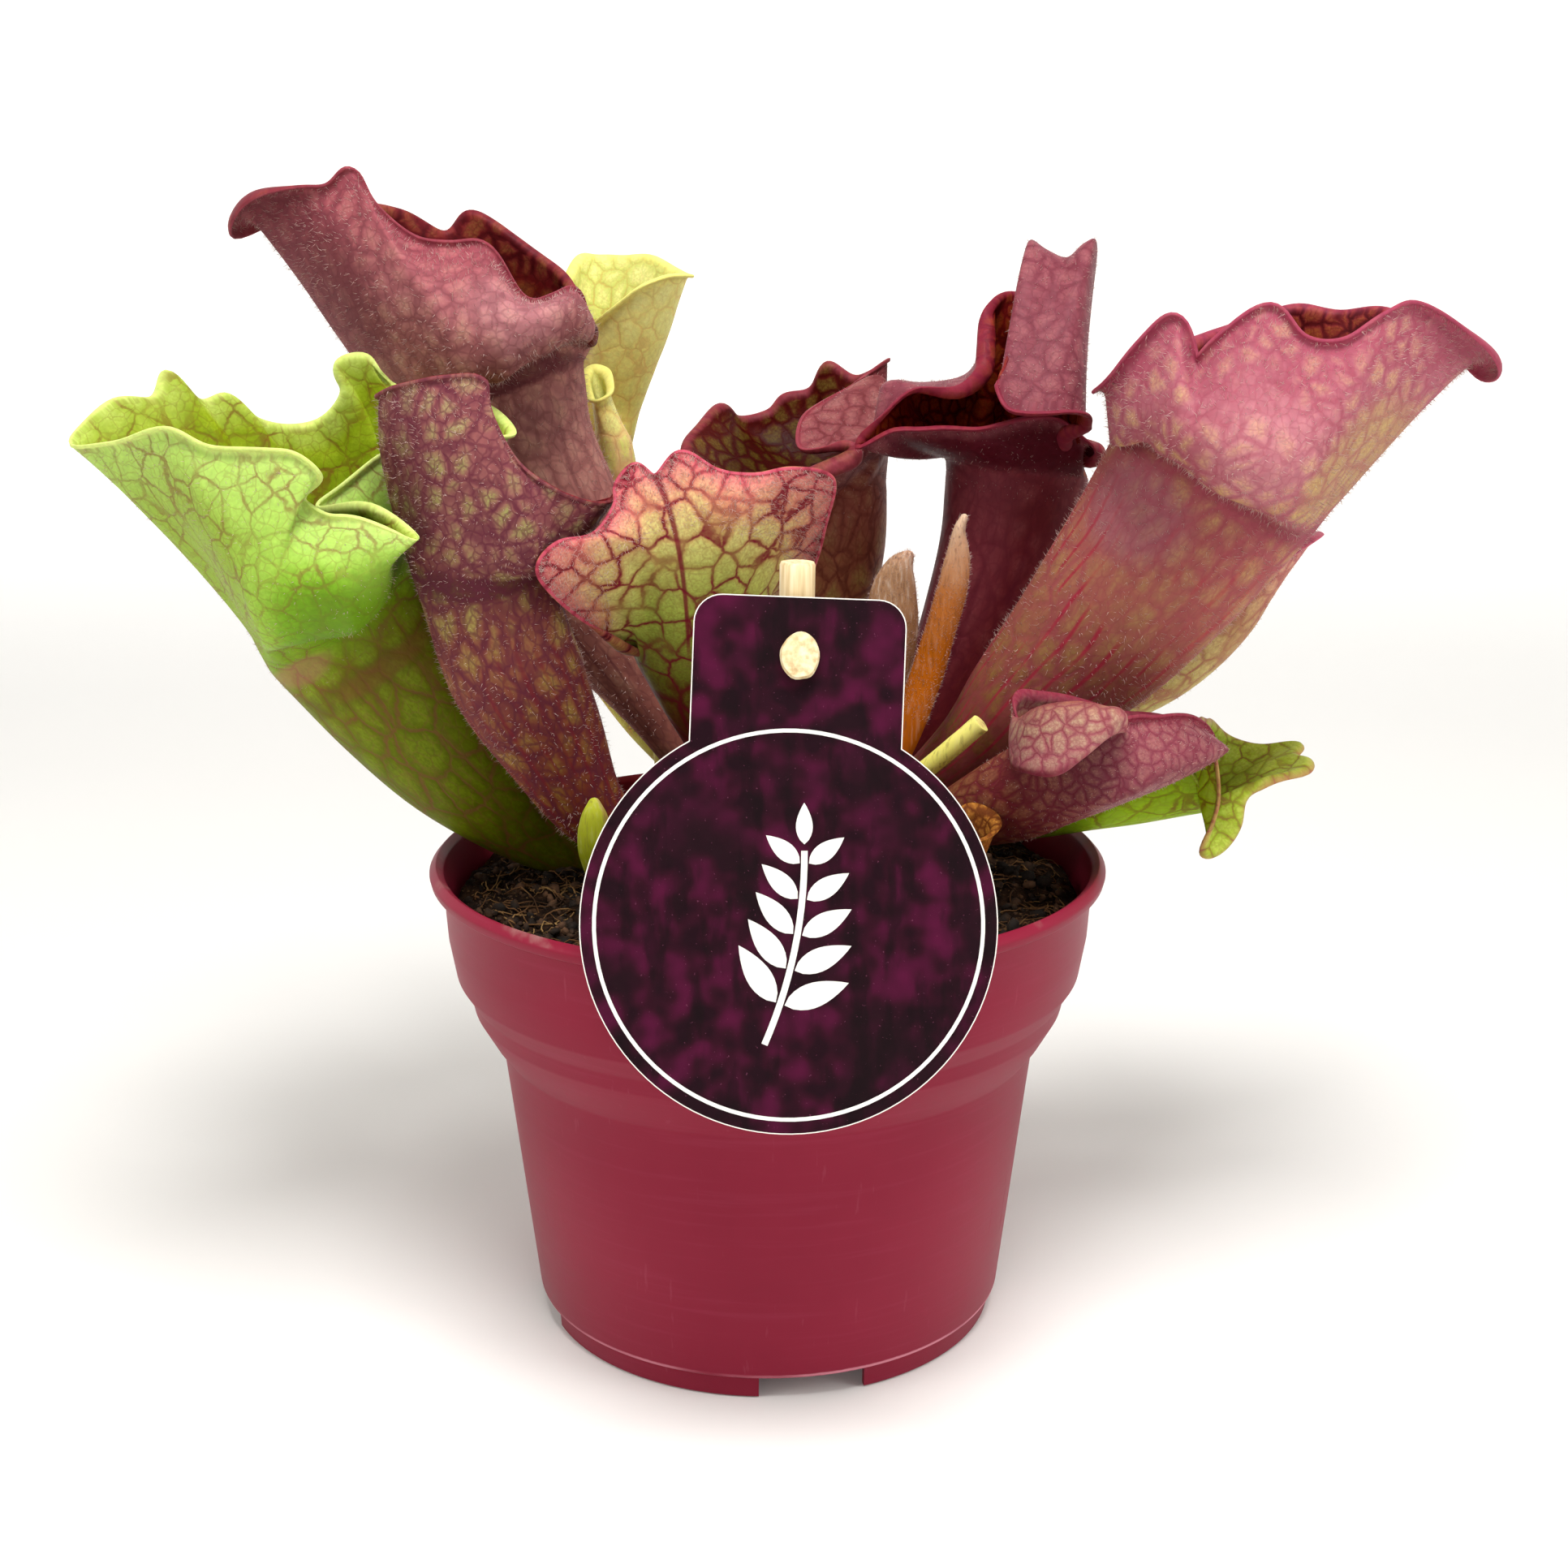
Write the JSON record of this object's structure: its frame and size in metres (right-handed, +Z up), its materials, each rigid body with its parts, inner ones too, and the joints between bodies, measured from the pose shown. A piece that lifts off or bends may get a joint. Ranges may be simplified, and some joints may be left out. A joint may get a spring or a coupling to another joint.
{
  "type": "potted pitcher plant",
  "caption": "Pitcher plant with flared, frilled trumpet leaves standing in peat in a stepped plastic nursery pot, with a round card label leaning on the rim.",
  "frame": {"origin": "on the surface the pot stands on, under the middle of the leaves' spread; the pot's own axis stands at X -4.5 mm, Y -8.1 mm", "axes": "+Z up, parallel to the pot's axis, -Y towards the label, +X to the right seen from the label side"},
  "size_m": [0.2395, 0.1518, 0.204],
  "materials": {
    "pot_plastic": "satin",
    "peat": "matte",
    "rhizome_bark": "matte",
    "leaf_rose": "satin",
    "leaf_purple": "satin",
    "leaf_green": "satin",
    "leaf_mottled": "satin",
    "leaf_netted": "satin",
    "leaf_yellow": "satin",
    "leaf_red": "satin",
    "leaf_burgundy": "satin",
    "leaf_pink": "satin",
    "leaf_dried": "matte",
    "bud_copper": "matte",
    "stalk_green": "matte",
    "label_print": "satin",
    "pale_wood": "matte"
  },
  "bodies": {
    "root": {"pot": "pot_plastic", "soil": "peat", "rhizome": "rhizome_bark", "pitcher_rose_right": "leaf_rose", "pitcher_purple_left": "leaf_purple", "pitcher_green_left": "leaf_green", "pitcher_mottled_front": "leaf_mottled", "pitcher_netted_centre": "leaf_netted", "pitcher_yellow_back": "leaf_yellow", "pitcher_yellow_small": "leaf_yellow", "pitcher_red_back": "leaf_red", "pitcher_burgundy_tall": "leaf_burgundy", "pitcher_pink_low": "leaf_pink", "pitcher_green_low": "leaf_green", "pitcher_pink_back": "leaf_pink", "pitcher_dried": "leaf_dried", "bud_short": "bud_copper", "bud_tall": "bud_copper", "bud_green": "stalk_green", "stalk_cut": "stalk_green", "label_card": "label_print", "label_peg": "pale_wood", "label_stick": "pale_wood"}
  },
  "joints": []
}
